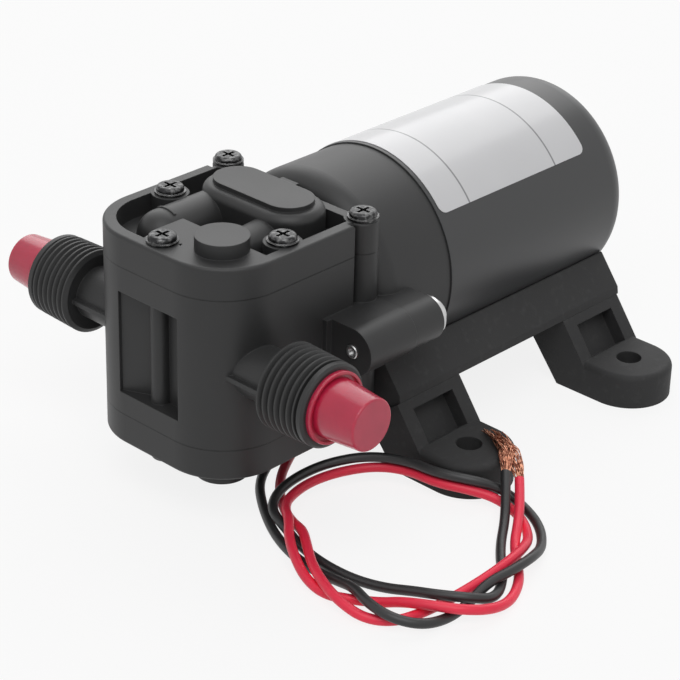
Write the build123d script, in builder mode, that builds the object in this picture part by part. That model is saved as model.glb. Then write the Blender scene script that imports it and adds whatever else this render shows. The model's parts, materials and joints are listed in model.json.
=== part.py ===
"""Twelve volt diaphragm pump: an opposed twin-diaphragm head on a brushed motor.

Frame: millimetres, +Z up. The origin is the centre of the four foot holes, on the
surface that the feet stand on. +X runs along the motor, from the head to the motor's
rear end, and the two ports point along +Y (left) and -Y (right).
"""
import os
from math import cos, pi, radians, sin, tan

from build123d import *

os.makedirs("parts", exist_ok=True)

# Feet
foot_spacing_x = 64.0
foot_spacing_y = 90.0
foot_pad_thickness = 9.0
foot_end_radius = 11.4
foot_hole_radius = 3.3
foot_outer_top = (31.3, 18.6)
foot_outer_bottom_y = 38.4
foot_inner_bottom_y = 30.7
foot_pocket_width = 14.4
foot_pocket_rail = 2.6
foot_pocket_depth = 4.0
foot_peg_radius = 2.6
foot_peg_length = 3.2
foot_peg_clearance = 0.1
foot_edge_radius = 1.6

# Ports, their collars with R 1/2 taper pipe threads
port_x = -83.0
port_z = 40.0
port_pipe_radius = 6.7
port_bore_radius = 4.3
port_mouth_radius = 6.6
port_mouth_depth = 10.0
collar_start = 32.6
collar_end = 46.9
thread_start = 33.3
thread_pitch = 1.814
thread_crests = 7
thread_depth = 1.1
thread_taper = 1 / 32
crest_radius = 10.65
crest_width = 0.45
land_start = 45.2
land_length = 1.2
land_radius = 10.2
collar_end_radius = 9.6
port_fin_height = 1.2
port_fin_reach = 1.3

# Transport caps
cap_clearance = 0.08
cap_flange_radius = 8.8
cap_flange_thickness = 1.2
cap_moat_width = 0.8
cap_moat_depth = 0.8
cap_body_radius = 7.25
cap_end_radius = 6.35
cap_body_length = 10.7
cap_plug_length = 8.0
cap_plug_taper = 0.3
cap_wall = 1.1
cap_tip_edge = 0.5
cap_flange_edge = 0.25

# Head
head_front = port_x - 13.0
head_length = 48.0
head_width = 49.6
head_corner_radius = 15.9
head_back_corner_radius = 2.0
seam_half = 19.4
cover_height = 8.0
cover_edge_radius = 0.8
recess_width = 20.0
recess_height = 26.6
recess_drop = 0.4
recess_depth = 4.6
recess_left_depth = 1.0
recess_slope_end = 2.3
recess_rib_radius = 2.4
recess_rib_depth = 1.6

# Head screws, measured from the port axis and in from the head's sides and back
screw_front_x = -8.0
screw_middle_x = 11.9
screw_middle_inset = 5.95
screw_back_inset = 2.2
screw_back_margin = 0.25
column_radius = 3.85
column_groove_width = 2.2
column_groove_depth = 1.6
lug_radius = 4.6
screw_head_radius = 3.8
screw_head_rim = 0.6
screw_head_waist = 3.4
screw_head_top = 3.3
screw_head_edge = 0.9
screw_head_height = 1.9
screw_cross_width = 0.9
screw_cross_length = 4.0
screw_cross_depth = 1.1
screw_shank_radius = 1.45
screw_shank_length = 16.0
screw_hole_clearance = 0.06

# Side bosses and their long screws
boss_reach = 8.2
boss_z = port_z + 0.8
boss_front_length = 16.0
boss_rear_length = 10.0
boss_front_radius = 6.0
boss_rear_radius = 5.7
boss_fin_thickness = 1.6
boss_fin_reach = 1.4
boss_screw_radius = 1.75
boss_screw_flange_radius = 5.0
boss_screw_flange = 1.5
boss_screw_head_radius = 3.8
boss_screw_head_height = 2.2
boss_screw_tip = 0.4
boss_screw_dimple_radius = 0.9
boss_screw_dimple_depth = 0.6

# Covers
rim_width = 3.2
cover_floor = 2.9
channel_rise = 0.4
dome_x = port_x + 1.8
dome_y = 10.8
dome_radius = 6.0
dome_rise = 1.0
round_boss_radius = 6.4
round_boss_rise = 3.6
round_boss_x = port_x - 1.0
round_boss_y = -12.3
shelf_front = port_x - 5.0
shelf_rear = port_x + 3.8
shelf_left = 5.8
shelf_right = -3.0
pit_x = port_x - 6.3
pit_y = -4.1
pit_radius = 0.7
ridge_x = port_x + 3.0
ridge_width = 0.6
ridge_height = 0.3
tab_y = 2.9
tab_width = 5.4
tab_length = 1.6
tab_rise = 0.6
outlet_pipe_radius = 5.0
outlet_riser_y = 1.0 - dome_y
plateau_x = port_x + 24.4
plateau_width = 12.4
plateau_length = 29.0
plateau_margin = 2.6
plateau_edge_radius = 2.4
plateau_rise = 3.6
plateau_step = 1.2
channel_radius = 2.2
riser_step = 0.2

# Valves and seals
valve_x = port_x + 22.0
valve_spacing = 12.0
valve_radius = 4.4
valve_seat_margin = 0.4
valve_cap = 0.8
valve_stem_radius = 1.1
valve_seat_depth = 1.2
valve_hole_radius = 0.9
valve_hole_circle = 2.9
valve_hole_count = 6
valve_foot_radius = 1.6
valve_foot_height = 0.7
pocket_radius = 13.4
pocket_gap = 2.5
pocket_wall = 1.5
pocket_corner_radius = 2.0
seal_inner_radius = 13.7
seal_width = 1.6
seal_thickness = 0.7

# Pump chamber and drive
chamber_x = port_x + 17.5
chamber_radius = 13.0
shaft_opening_radius = 6.0
stack_radius = 15.6
valve_plate_thickness = 2.8
diaphragm_rim = 2.0
diaphragm_rim_width = 2.4
diaphragm_thickness = 1.6
web_margin = 0.4
joint_overlap = 0.2
piston_radius = 8.0
piston_thickness = 1.3
eccentric_throw = 0.9
eccentric_radius = 3.0
bearing_outer_radius = 6.0
bearing_width = 5.0
window_clearance = 0.3
window_corner_radius = 1.0
yoke_side = 3.0
yoke_thickness = 5.0
piston_clearance = 0.4
stack_clearance = 0.1
seal_fit = 0.05
piston_screw_radius = 1.5
piston_screw_head_radius = 2.8
piston_screw_hole_clearance = 0.05

# Motor
motor_z = 42.3
housing_front = head_front + head_length + 2.0
housing_rear = housing_front + 25.0
housing_radius = 27.5
housing_front_wall = 4.0
housing_bore_radius = 22.2
housing_boss_radius = 8.0
housing_corner_radius = 6.0
pilot_radius = 20.0
can_length = 71.0
can_radius = housing_radius + 0.4
can_wall = 1.5
can_corner_radius = 6.5
lip_length = 3.0
shaft_chamfer = 0.3
shaft_margin = 0.5
shaft_radius = 1.585
running_clearance = 0.03
bush_radius = 5.0
bush_length = 6.0
bush_margin = 0.5
magnet_thickness = 4.0
magnet_length = 46.0
magnet_margin = 5.0
air_gap = 0.6
core_length = 40.0
core_slots = 12
slot_corner_radius = 1.0
commutator_radius = 7.0
commutator_length = 9.0
commutator_margin = 3.0
brush_length = 8.0
brush_width = 5.0
brush_height = 4.0
brush_spring_length = 5.0
brush_plate_thickness = 2.0

# Label
label_start = housing_rear + 1.2
label_length = 56.0
label_thickness = 0.15
label_half_angle = 53.6
label_corner_radius = 2.2

# Cradle
cradle_front = housing_front + 3.6
cradle_rear = housing_rear + 65.0
cradle_top_y = 24.9
cradle_top_z = 28.6
cradle_shoulder = (31.0, 20.6)
cradle_bottom_z = 11.4
cradle_bottom_y = 21.3
cradle_seat_gap = 0.1
notch_margin = 1.2

# Wires
wire_radius = 1.2
wire_lift = 0.05
strand_radius = 0.85
run_share = 0.45
grommet_x = housing_front + 8.0
grommet_radius = 4.2
grommet_flange_radius = 5.6
grommet_flange = 1.2
grommet_fit = 0.05
wire_spread = 1.9

# Tolerance for picking edges by their place
near = 0.01

# Values that follow from the sizes above
seam_top = port_z + seam_half
seam_bottom = port_z - seam_half
cover_top = seam_top + cover_height
riser_radius = channel_radius - riser_step
head_back = head_front + head_length
head_centre_x = head_front + head_length / 2
motor_rear = housing_rear + can_length
foot_places = {
    "front_left_foot": (-foot_spacing_x / 2, 1),
    "front_right_foot": (-foot_spacing_x / 2, -1),
    "rear_left_foot": (foot_spacing_x / 2, 1),
    "rear_right_foot": (foot_spacing_x / 2, -1),
}
screw_middle_y = head_width / 2 - screw_middle_inset
screw_back_x = head_back - screw_back_margin
screw_back_y = head_width / 2 - screw_back_inset
boss_y = head_width / 2 + boss_reach
boss_front = housing_front - boss_front_length
boss_rear = housing_front + boss_rear_length
cover_screw_places = [
    (port_x + screw_front_x, 0),
    (port_x + screw_middle_x, screw_middle_y),
    (port_x + screw_middle_x, -screw_middle_y),
    (screw_back_x, screw_back_y),
    (screw_back_x, -screw_back_y),
]
column_places = cover_screw_places[3:]
window_half_width = bearing_outer_radius + eccentric_throw + window_clearance
window_half_height = window_half_width + eccentric_throw


def save(part, name):
    """Label a finished piece and write it under its name."""
    part.label = name
    export_step(part, f"parts/{name}.step")


def lower(part):
    """The piece for the lower half of the head: its twin turned over at the port plane."""
    return mirror(part, about=Plane.XY.offset(port_z))


def across(part):
    """The piece on the other side of the pump's middle plane."""
    return mirror(part, about=Plane.XZ)


def head_outline():
    """Draw the head's plan in the current sketch: round front corners, two back columns."""
    with Locations((head_centre_x, 0)):
        Rectangle(head_length, head_width)
    ends = vertices().sort_by(Axis.X)
    fillet(ends[:2], head_corner_radius)
    fillet(vertices().sort_by(Axis.X)[-2:], head_back_corner_radius)
    groove_x = screw_back_x - column_radius
    with Locations((groove_x, head_width / 2), (groove_x, -head_width / 2)):
        Rectangle(column_groove_width, 2 * column_groove_depth, mode=Mode.SUBTRACT)
    with Locations(*column_places):
        Circle(column_radius)


def boss_outline(radius):
    """Draw the two side bosses' section: round outside, flat above and below to the head."""
    with Locations((boss_y, boss_z), (-boss_y, boss_z)):
        Circle(radius)
    for side in (-1, 1):
        with Locations((side * (boss_y - boss_reach), boss_z)):
            Rectangle(2 * boss_reach, 2 * radius)


def seal_outline(grow=0.0):
    """Draw a valve seal in the current sketch: a ring with a bar between the two valves."""
    with Locations((chamber_x, 0)):
        Circle(seal_inner_radius + seal_width + grow)
        Circle(seal_inner_radius - grow, mode=Mode.SUBTRACT)
        Rectangle(2 * seal_inner_radius + seal_width, seal_width + 2 * grow)


# Head body: the middle block, with its ports, front recess and side bosses
with BuildPart() as head_body:
    with BuildSketch(Plane.XY.offset(seam_bottom)):
        head_outline()
    extrude(amount=2 * seam_half)

    # Front recess, its floor sloping on the left, with one rounded rib left standing in it
    recess_bottom = port_z - recess_drop - recess_height / 2
    with BuildSketch(Plane.XY.offset(recess_bottom)):
        with BuildLine():
            Polyline(
                (head_front - 1, recess_width / 2),
                (head_front + recess_left_depth, recess_width / 2),
                (head_front + recess_depth, recess_slope_end),
                (head_front + recess_depth, -recess_width / 2),
                (head_front - 1, -recess_width / 2),
                close=True,
            )
        make_face()
    extrude(amount=recess_height, mode=Mode.SUBTRACT)
    with BuildSketch(Plane.XY.offset(recess_bottom)):
        with Locations((head_front + recess_rib_depth + recess_rib_radius, 0)):
            Circle(recess_rib_radius)
        with Locations((head_front + recess_depth, 0)):
            Rectangle(2 * (recess_depth - recess_rib_depth - recess_rib_radius), 2 * recess_rib_radius)
    extrude(amount=recess_height)

    # Port pipes and fins on the moulding's parting plane
    with BuildSketch(Plane.XZ.offset(-collar_start)):
        with Locations((port_x, port_z)):
            Circle(port_pipe_radius)
            Rectangle(2 * (port_pipe_radius + port_fin_reach), port_fin_height)
    extrude(amount=2 * collar_start)

    # Collars: tapered crests with flat tops, a plain land at the end and a bevel
    for side in (-1, 1):
        with BuildSketch(Plane.XY.offset(port_z)):
            with BuildLine():
                profile = [(0, collar_start)]
                for crest in range(thread_crests):
                    crest_y = thread_start + crest * thread_pitch
                    tip = crest_radius - crest * thread_pitch * thread_taper
                    profile += [
                        (tip - thread_depth, crest_y - thread_pitch / 2),
                        (tip, crest_y - crest_width / 2),
                        (tip, crest_y + crest_width / 2),
                    ]
                profile += [
                    (land_radius - thread_depth, land_start - thread_pitch / 3),
                    (land_radius, land_start),
                    (land_radius, land_start + land_length),
                    (collar_end_radius, collar_end),
                    (0, collar_end),
                ]
                Polyline(*[(port_x + radius, side * y) for radius, y in profile], close=True)
            make_face()
        revolve(axis=Axis((port_x, 0, port_z), (0, 1, 0)))

    # Side bosses for the long screws, each with a thin fin in front
    with BuildSketch(Plane.YZ.offset(boss_front)):
        boss_outline(boss_front_radius)
    extrude(amount=boss_front_length)
    with BuildSketch(Plane.YZ.offset(boss_front - boss_fin_thickness)):
        with Locations((0, boss_z)):
            Rectangle(head_width + 2 * boss_fin_reach, 2 * boss_front_radius)
    extrude(amount=boss_fin_thickness)

    # Pilot that centres the motor housing on the back of the head
    with BuildSketch(Plane.YZ.offset(head_back)):
        with Locations((0, motor_z)):
            Circle(pilot_radius)
        with Locations((0, port_z)):
            Rectangle(head_width, 2 * seam_half, mode=Mode.INTERSECT)
    extrude(amount=housing_front - head_back)

    # Crank chamber, diaphragm seats and the opening for the shaft
    with BuildSketch(Plane.XY.offset(seam_bottom)):
        with Locations((chamber_x, 0)):
            Circle(chamber_radius)
    extrude(amount=2 * seam_half, mode=Mode.SUBTRACT)
    seat_depth = valve_plate_thickness + diaphragm_rim
    for bottom in (seam_bottom, seam_top - seat_depth):
        with BuildSketch(Plane.XY.offset(bottom)):
            with Locations((chamber_x, 0)):
                Circle(stack_radius + stack_clearance)
        extrude(amount=seat_depth, mode=Mode.SUBTRACT)
    with BuildSketch(Plane.YZ.offset(chamber_x)):
        with Locations((0, motor_z)):
            Circle(shaft_opening_radius)
    extrude(amount=housing_front - chamber_x, mode=Mode.SUBTRACT)

    # Port bores, risers to the covers and screw holes
    with BuildSketch(Plane.XZ.offset(-collar_end)):
        with Locations((port_x, port_z)):
            Circle(port_bore_radius)
    extrude(amount=collar_end - dome_y, mode=Mode.SUBTRACT)
    with BuildSketch(Plane.XZ.offset(collar_end)):
        with Locations((port_x, port_z)):
            Circle(port_bore_radius)
    extrude(amount=-(collar_end - dome_y), mode=Mode.SUBTRACT)
    for side in (-1, 1):
        with BuildSketch(Plane.XZ.offset(side * collar_end)):
            with Locations((port_x, port_z)):
                Circle(port_mouth_radius)
        extrude(amount=-side * port_mouth_depth, mode=Mode.SUBTRACT)
    with BuildSketch(Plane.XY.offset(seam_bottom)):
        with Locations((dome_x, dome_y), (dome_x, -dome_y)):
            Circle(riser_radius)
    extrude(amount=2 * seam_half, mode=Mode.SUBTRACT)
    screw_reach = screw_shank_length - cover_height
    for bottom in (seam_bottom, seam_top - screw_reach):
        with BuildSketch(Plane.XY.offset(bottom)):
            with Locations(*cover_screw_places):
                Circle(screw_shank_radius + screw_hole_clearance)
        extrude(amount=screw_reach, mode=Mode.SUBTRACT)
    with BuildSketch(Plane.YZ.offset(boss_front - 2 * boss_fin_thickness)):
        with Locations((boss_y, boss_z), (-boss_y, boss_z)):
            Circle(boss_screw_radius + screw_hole_clearance)
    extrude(amount=boss_front_length + 3 * boss_fin_thickness, mode=Mode.SUBTRACT)
save(head_body.part, "head_body")

# Valve dome: an obround over the two valves, with a thin raised plate on it
with BuildPart() as dome_block:
    with BuildSketch(Plane.XY.offset(seam_top + cover_floor / 2)):
        with Locations((plateau_x, 0)):
            SlotOverall(
                plateau_length + 2 * plateau_margin,
                plateau_width + 2 * plateau_margin,
                rotation=90,
            )
    extrude(amount=cover_top + plateau_rise - plateau_step - seam_top - cover_floor / 2)
    fillet(dome_block.faces().sort_by(Axis.Z)[-1].edges(), plateau_edge_radius)
    with BuildSketch(Plane.XY.offset(seam_top + cover_floor)):
        with Locations((plateau_x, 0)):
            SlotOverall(plateau_length, plateau_width, rotation=90)
    extrude(amount=cover_top + plateau_rise - seam_top - cover_floor)

# Upper valve cover: a rimmed lid with moulded channels, a round boss and a valve dome
channel_z = seam_top + cover_floor + channel_rise
with BuildPart() as upper_cover:
    with BuildSketch(Plane.XY.offset(seam_top)):
        head_outline()
    extrude(amount=cover_height)
    fillet(upper_cover.faces().sort_by(Axis.Z)[-1].outer_wire().edges(), cover_edge_radius)

    # The sunk floor inside the rim, with the screw lugs left standing
    with BuildSketch(Plane.XY.offset(seam_top + cover_floor)):
        with Locations((head_centre_x, 0)):
            Rectangle(head_length - 2 * rim_width, head_width - 2 * rim_width)
        fillet(vertices().sort_by(Axis.X)[:2], head_corner_radius - rim_width)
        with Locations(*cover_screw_places):
            Circle(lug_radius, mode=Mode.SUBTRACT)
        # A shelf under the round boss and the end of the inlet channel, level with the rim
        with Locations(((shelf_front + shelf_rear) / 2, shelf_left - head_width / 2)):
            Rectangle(shelf_rear - shelf_front, head_width, mode=Mode.SUBTRACT)
        with Locations(((head_front + shelf_rear) / 2, shelf_right - head_width / 2)):
            Rectangle(shelf_rear - head_front, head_width, mode=Mode.SUBTRACT)
        with Locations((pit_x, pit_y)):
            RegularPolygon(pit_radius, 3)
    extrude(amount=cover_height, mode=Mode.SUBTRACT)

    # Inlet channel: a fat pipe with a domed end, running back to the valve dome
    with BuildSketch(Plane.YZ.offset(dome_x)):
        with Locations((dome_y, cover_top + dome_rise - dome_radius)):
            Circle(dome_radius)
        with Locations((dome_y, seam_top + cover_floor / 2)):
            Rectangle(2 * dome_radius - rim_width / 3, cover_floor)
    extrude(amount=plateau_x - dome_x)
    with Locations((dome_x, dome_y, cover_top + dome_rise - dome_radius)):
        Sphere(dome_radius)
    with BuildSketch(Plane.YZ.offset(ridge_x)):
        with Locations((dome_y, cover_top + dome_rise - dome_radius)):
            Circle(dome_radius + ridge_height)
            Rectangle(dome_radius, 3 * dome_radius, mode=Mode.INTERSECT)
        with Locations((dome_y, cover_top + dome_rise - 2 * dome_radius)):
            Rectangle(2 * dome_radius, 2 * dome_radius, mode=Mode.SUBTRACT)
    extrude(amount=ridge_width)

    # Outlet channel: from the round boss to the other end of the valve dome
    outlet_start = Vector(dome_x, outlet_riser_y)
    outlet_end = Vector(plateau_x, -plateau_length / 4)
    outlet_plane = Plane(
        origin=(outlet_start.X, outlet_start.Y, cover_top + channel_rise - outlet_pipe_radius),
        x_dir=(0, 0, 1),
        z_dir=(outlet_end - outlet_start).normalized(),
    )
    with BuildSketch(outlet_plane):
        Circle(outlet_pipe_radius)
    extrude(amount=(outlet_end - outlet_start).length)
    with BuildSketch(Plane.XY.offset(seam_top + cover_floor / 2)):
        with Locations((round_boss_x, round_boss_y)):
            Circle(round_boss_radius)
    extrude(amount=cover_top + round_boss_rise - seam_top - cover_floor / 2)

    add(dome_block.part)

    # Nothing reaches below the seam, or past the head's outline at the back
    with BuildSketch(Plane.XY.offset(seam_top)):
        with Locations((head_centre_x, 0)):
            Rectangle(2 * head_length, 2 * head_width)
    extrude(amount=-cover_height, mode=Mode.SUBTRACT)
    with BuildSketch(Plane.XY.offset(seam_top)):
        with Locations((head_back + head_length / 2, 0)):
            Rectangle(head_length, head_width - 4 * column_radius)
    extrude(amount=3 * cover_height, mode=Mode.SUBTRACT)
    # Small tab on the back rim, over the gap to the motor
    with BuildSketch(Plane.XY.offset(seam_top + cover_height / 2)):
        with Locations((head_back, tab_y)):
            Rectangle(2 * tab_length, tab_width)
    extrude(amount=cover_height / 2 + tab_rise)

    # Water ways underneath: two risers, two channels and two valve pockets
    with BuildSketch(Plane.XY.offset(seam_top)):
        with Locations((dome_x, dome_y), (dome_x, outlet_riser_y)):
            Circle(riser_radius)
    extrude(amount=cover_floor, mode=Mode.SUBTRACT)
    with BuildSketch(Plane.YZ.offset(dome_x - channel_radius)):
        with Locations((dome_y, channel_z), (outlet_riser_y, channel_z)):
            Circle(channel_radius)
    extrude(amount=plateau_x - dome_x, mode=Mode.SUBTRACT)
    with BuildSketch(Plane.XY.offset(seam_top)):
        for side in (-1, 1):
            with Locations((plateau_x, side * (pocket_radius + pocket_gap) / 2)):
                RectangleRounded(plateau_width - 2 * pocket_wall, pocket_radius, pocket_corner_radius)
        with Locations((chamber_x, 0)):
            Circle(pocket_radius, mode=Mode.INTERSECT)
    extrude(amount=cover_height, mode=Mode.SUBTRACT)
    with BuildSketch(Plane.XY.offset(seam_top)):
        seal_outline(seal_fit)
    extrude(amount=seal_thickness, mode=Mode.SUBTRACT)

    # Clearance holes for the screws
    with BuildSketch(Plane.XY.offset(seam_top)):
        with Locations(*cover_screw_places):
            Circle(screw_shank_radius + 2 * screw_hole_clearance)
    extrude(amount=2 * cover_height, mode=Mode.SUBTRACT)
save(upper_cover.part, "upper_valve_cover")
save(lower(upper_cover.part), "lower_valve_cover")


# Valve stack under each cover: plate, two umbrella valves and a seal
plate_bottom = seam_top - valve_plate_thickness
valve_seat_thickness = valve_plate_thickness - valve_seat_depth
with BuildPart() as valve_plate:
    with BuildSketch(Plane.XY.offset(plate_bottom)):
        with Locations((chamber_x, 0)):
            Circle(stack_radius)
    extrude(amount=valve_plate_thickness)
    for side, floor, back in (
        (1, plate_bottom, seam_top - valve_foot_height),
        (-1, seam_top - valve_seat_depth, plate_bottom),
    ):
        with BuildSketch(Plane.XY.offset(floor)):
            with Locations((valve_x, side * valve_spacing / 2)):
                Circle(valve_radius + valve_seat_margin)
        extrude(amount=valve_seat_depth, mode=Mode.SUBTRACT)
        with BuildSketch(Plane.XY.offset(back)):
            with Locations((valve_x, side * valve_spacing / 2)):
                Circle(valve_foot_radius + stack_clearance)
        extrude(amount=valve_foot_height, mode=Mode.SUBTRACT)
        with BuildSketch(Plane.XY.offset(plate_bottom)):
            with Locations((valve_x, side * valve_spacing / 2)):
                Circle(valve_stem_radius + running_clearance)
                with PolarLocations(valve_hole_circle, valve_hole_count):
                    Circle(valve_hole_radius)
        extrude(amount=valve_plate_thickness, mode=Mode.SUBTRACT)
save(valve_plate.part, "upper_valve_plate")
save(lower(valve_plate.part), "lower_valve_plate")


def umbrella_valve(y, seat_z, up):
    """A rubber umbrella valve: a thin cap on its seat, a stem and a foot behind the plate."""
    foot_z = seat_z - up * valve_seat_thickness
    with BuildPart() as valve:
        with BuildSketch(Plane.XZ.offset(-y)):
            with BuildLine():
                Polyline(
                    (valve_x, seat_z + up * valve_cap),
                    (valve_x + valve_stem_radius, seat_z + up * valve_cap),
                    (valve_x + valve_radius, seat_z + up * valve_cap / 2),
                    (valve_x + valve_radius, seat_z),
                    (valve_x + valve_stem_radius, seat_z),
                    (valve_x + valve_stem_radius, foot_z + up * valve_foot_height),
                    (valve_x + valve_foot_radius, foot_z + up * valve_foot_height),
                    (valve_x + valve_foot_radius, foot_z),
                    (valve_x, foot_z),
                    close=True,
                )
            make_face()
        revolve(axis=Axis((valve_x, y, 0), (0, 0, 1)))
    return valve.part


inlet_valve = umbrella_valve(valve_spacing / 2, plate_bottom + valve_seat_depth, -1)
outlet_valve = umbrella_valve(-valve_spacing / 2, seam_top - valve_seat_depth, 1)
save(inlet_valve, "upper_inlet_valve")
save(outlet_valve, "upper_outlet_valve")
save(lower(inlet_valve), "lower_inlet_valve")
save(lower(outlet_valve), "lower_outlet_valve")

with BuildPart() as valve_seal:
    with BuildSketch(Plane.XY.offset(seam_top)):
        seal_outline()
    extrude(amount=seal_thickness)
save(valve_seal.part, "upper_valve_seal")
save(lower(valve_seal.part), "lower_valve_seal")

# Diaphragms: a thick middle, a sloping web and a clamped rim
washer_top = plate_bottom - piston_clearance - eccentric_throw
middle_top = washer_top - piston_thickness
middle_bottom = middle_top - diaphragm_thickness
rim_bottom = plate_bottom - diaphragm_rim
rim_inner = stack_radius - diaphragm_rim_width
with BuildPart() as diaphragm:
    with BuildSketch(Plane.XZ):
        with BuildLine():
            Polyline(
                (chamber_x + piston_screw_radius + piston_screw_hole_clearance, middle_bottom),
                (chamber_x + piston_radius, middle_bottom),
                (chamber_x + chamber_radius - web_margin, rim_bottom),
                (chamber_x + stack_radius, rim_bottom),
                (chamber_x + stack_radius, plate_bottom),
                (chamber_x + rim_inner, plate_bottom),
                (chamber_x + piston_radius + web_margin, middle_top),
                (chamber_x + piston_screw_radius + piston_screw_hole_clearance, middle_top),
                close=True,
            )
        make_face()
    revolve(axis=Axis((chamber_x, 0, 0), (0, 0, 1)))
save(diaphragm.part, "upper_diaphragm")
save(lower(diaphragm.part), "lower_diaphragm")

# Pistons: the washers that clamp the diaphragms to the yoke, with their screws
with BuildPart() as piston:
    with BuildSketch(Plane.XY.offset(middle_top)):
        with Locations((chamber_x, 0)):
            Circle(piston_radius)
    extrude(amount=piston_thickness)
    with Locations((chamber_x, 0, washer_top)):
        CounterSinkHole(
            piston_screw_radius + piston_screw_hole_clearance,
            piston_screw_head_radius + piston_screw_hole_clearance,
        )
save(piston.part, "upper_piston")
save(lower(piston.part), "lower_piston")

yoke_top = middle_bottom
yoke_bottom = 2 * port_z - yoke_top
bar_height = yoke_top - motor_z - window_half_height
piston_screw_end = yoke_top - bar_height + 1.5 * joint_overlap
head_slope = piston_screw_head_radius - piston_screw_radius
with BuildPart() as piston_screw:
    with BuildSketch(Plane.XZ):
        with BuildLine():
            Polyline(
                (chamber_x, piston_screw_end),
                (chamber_x + piston_screw_radius, piston_screw_end),
                (chamber_x + piston_screw_radius, washer_top - head_slope),
                (chamber_x + piston_screw_head_radius, washer_top),
                (chamber_x, washer_top),
                close=True,
            )
        make_face()
    revolve(axis=Axis((chamber_x, 0, 0), (0, 0, 1)))
save(Compound([piston_screw.part.solid(), lower(piston_screw.part).solid()]), "piston_screws")

# Yoke: a frame round the bearing, reaching up to one diaphragm and down to the other
with BuildPart() as yoke:
    with BuildSketch(Plane.YZ.offset(chamber_x - yoke_thickness / 2)):
        with Locations((0, motor_z)):
            Rectangle(2 * (window_half_width + yoke_side), 2 * (window_half_height + bar_height))
        chamfer(vertices(), bar_height - joint_overlap)
        with Locations((0, (yoke_bottom + motor_z) / 2)):
            Rectangle(piston_radius, motor_z - yoke_bottom)
        with Locations((0, motor_z)):
            RectangleRounded(
                2 * window_half_width,
                2 * window_half_height,
                window_corner_radius,
                mode=Mode.SUBTRACT,
            )
    extrude(amount=yoke_thickness)
    for face_z, inward in ((yoke_top, -1), (yoke_bottom, 1)):
        with BuildSketch(Plane.XY.offset(face_z)):
            with Locations((chamber_x, 0)):
                Circle(piston_radius)
        extrude(amount=inward * (bar_height - 2 * joint_overlap))
        with BuildSketch(Plane.XY.offset(face_z)):
            with Locations((chamber_x, 0)):
                Circle(piston_screw_radius + piston_screw_hole_clearance)
        extrude(amount=inward * (bar_height - joint_overlap), mode=Mode.SUBTRACT)
save(yoke.part, "yoke")

# Ball bearing on the eccentric
race_wall = 0.8
ball_radius = (bearing_outer_radius - eccentric_radius - 2 * race_wall) / 2 - running_clearance
ball_circle = (bearing_outer_radius + eccentric_radius) / 2
ball_count = 7
eccentric_centre = (chamber_x, eccentric_throw, motor_z)


def ring(x_start, length, outer, inner, y=0.0, z=motor_z):
    """A plain ring or bush along X."""
    with BuildPart() as body:
        with BuildSketch(Plane.YZ.offset(x_start)):
            with Locations((y, z)):
                Circle(outer)
                Circle(inner, mode=Mode.SUBTRACT)
        extrude(amount=length)
    return body.part


bearing_start = chamber_x - bearing_width / 2
outer_race = ring(
    bearing_start, bearing_width, bearing_outer_radius, bearing_outer_radius - race_wall, eccentric_throw
)
inner_race = ring(
    bearing_start, bearing_width, eccentric_radius + race_wall, eccentric_radius, eccentric_throw
)
save(Compound([outer_race.solid(), inner_race.solid()]), "bearing_races")
balls = []
for index in range(ball_count):
    turn = radians(360 * index / ball_count)
    place = (
        chamber_x,
        eccentric_throw + ball_circle * cos(turn),
        motor_z + ball_circle * sin(turn),
    )
    balls.append((Pos(*place) * Sphere(ball_radius)).solid())
save(Compound(balls), "bearing_balls")

# Eccentric: an offset journal with a hub, pressed on the shaft
hub_length = 5.0
hub_radius = 4.6
hub_gap = 0.3
with BuildPart() as eccentric:
    with BuildSketch(Plane.YZ.offset(bearing_start)):
        with Locations((eccentric_throw, motor_z)):
            Circle(eccentric_radius)
    extrude(amount=bearing_width + hub_gap)
    with BuildSketch(Plane.YZ.offset(bearing_start + bearing_width + hub_gap)):
        with Locations((0, motor_z)):
            Circle(hub_radius)
    extrude(amount=hub_length)
    with BuildSketch(Plane.YZ.offset(bearing_start)):
        with Locations((0, motor_z)):
            Circle(shaft_radius)
    extrude(amount=2 * bearing_width + hub_length, mode=Mode.SUBTRACT)
save(eccentric.part, "eccentric")

# Motor front housing: a plastic cup with the front bush, the brush gear and the screw bosses
housing_length = housing_rear - housing_front
can_bore = can_radius - can_wall


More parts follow.
